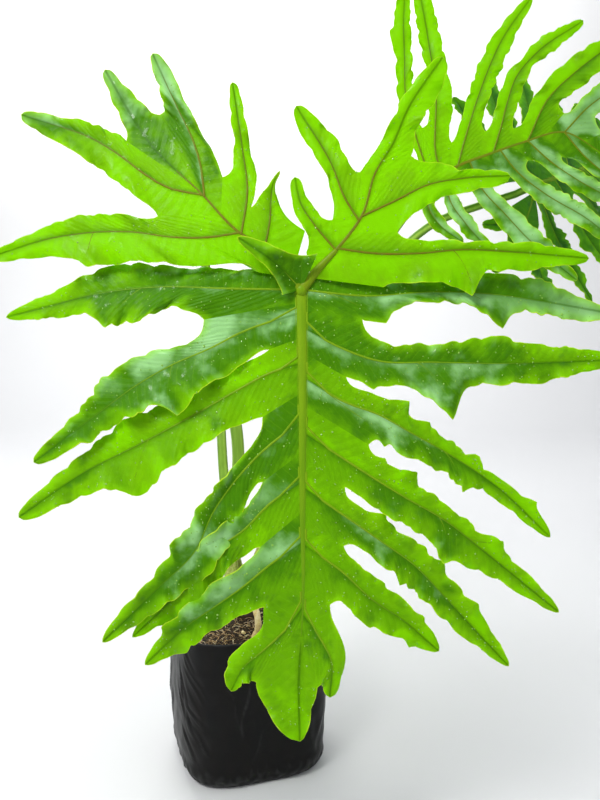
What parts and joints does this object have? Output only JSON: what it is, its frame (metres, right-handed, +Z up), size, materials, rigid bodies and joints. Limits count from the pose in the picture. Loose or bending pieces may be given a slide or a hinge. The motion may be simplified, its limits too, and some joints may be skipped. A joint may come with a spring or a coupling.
{
  "type": "potted lacy tree philodendron",
  "caption": "Tree philodendron with large, deeply lobed, wavy-edged leaves on arching stalks, growing from a short stem in a soil-filled black polythene grow bag.",
  "frame": {"origin": "middle of the bag's flat bottom, on the surface it stands on", "axes": "+Z up. The front leaf faces -Y, and the right leaf reaches towards +X"},
  "size_m": [0.7719, 0.6773, 0.8846],
  "materials": {
    "black_polythene": "dull, creased film",
    "potting_soil": "loose, matt",
    "green_stem": "fresh, satin",
    "root_cork": "corky, matt",
    "green_petiole": "smooth, satin",
    "bright_leaf": "glossy, waxy",
    "dark_leaf": "glossy, waxy"
  },
  "bodies": {
    "root": {"grow_bag": "black_polythene", "soil": "potting_soil", "stem": "green_stem", "aerial_root": "root_cork", "front_blade": "bright_leaf", "front_petiole": "green_petiole", "right_blade": "bright_leaf", "right_petiole": "green_petiole", "back_right_blade": "dark_leaf", "back_right_petiole": "green_petiole", "back_left_blade": "bright_leaf", "back_left_petiole": "green_petiole", "back_blade": "bright_leaf", "back_petiole": "green_petiole"}
  },
  "joints": []
}
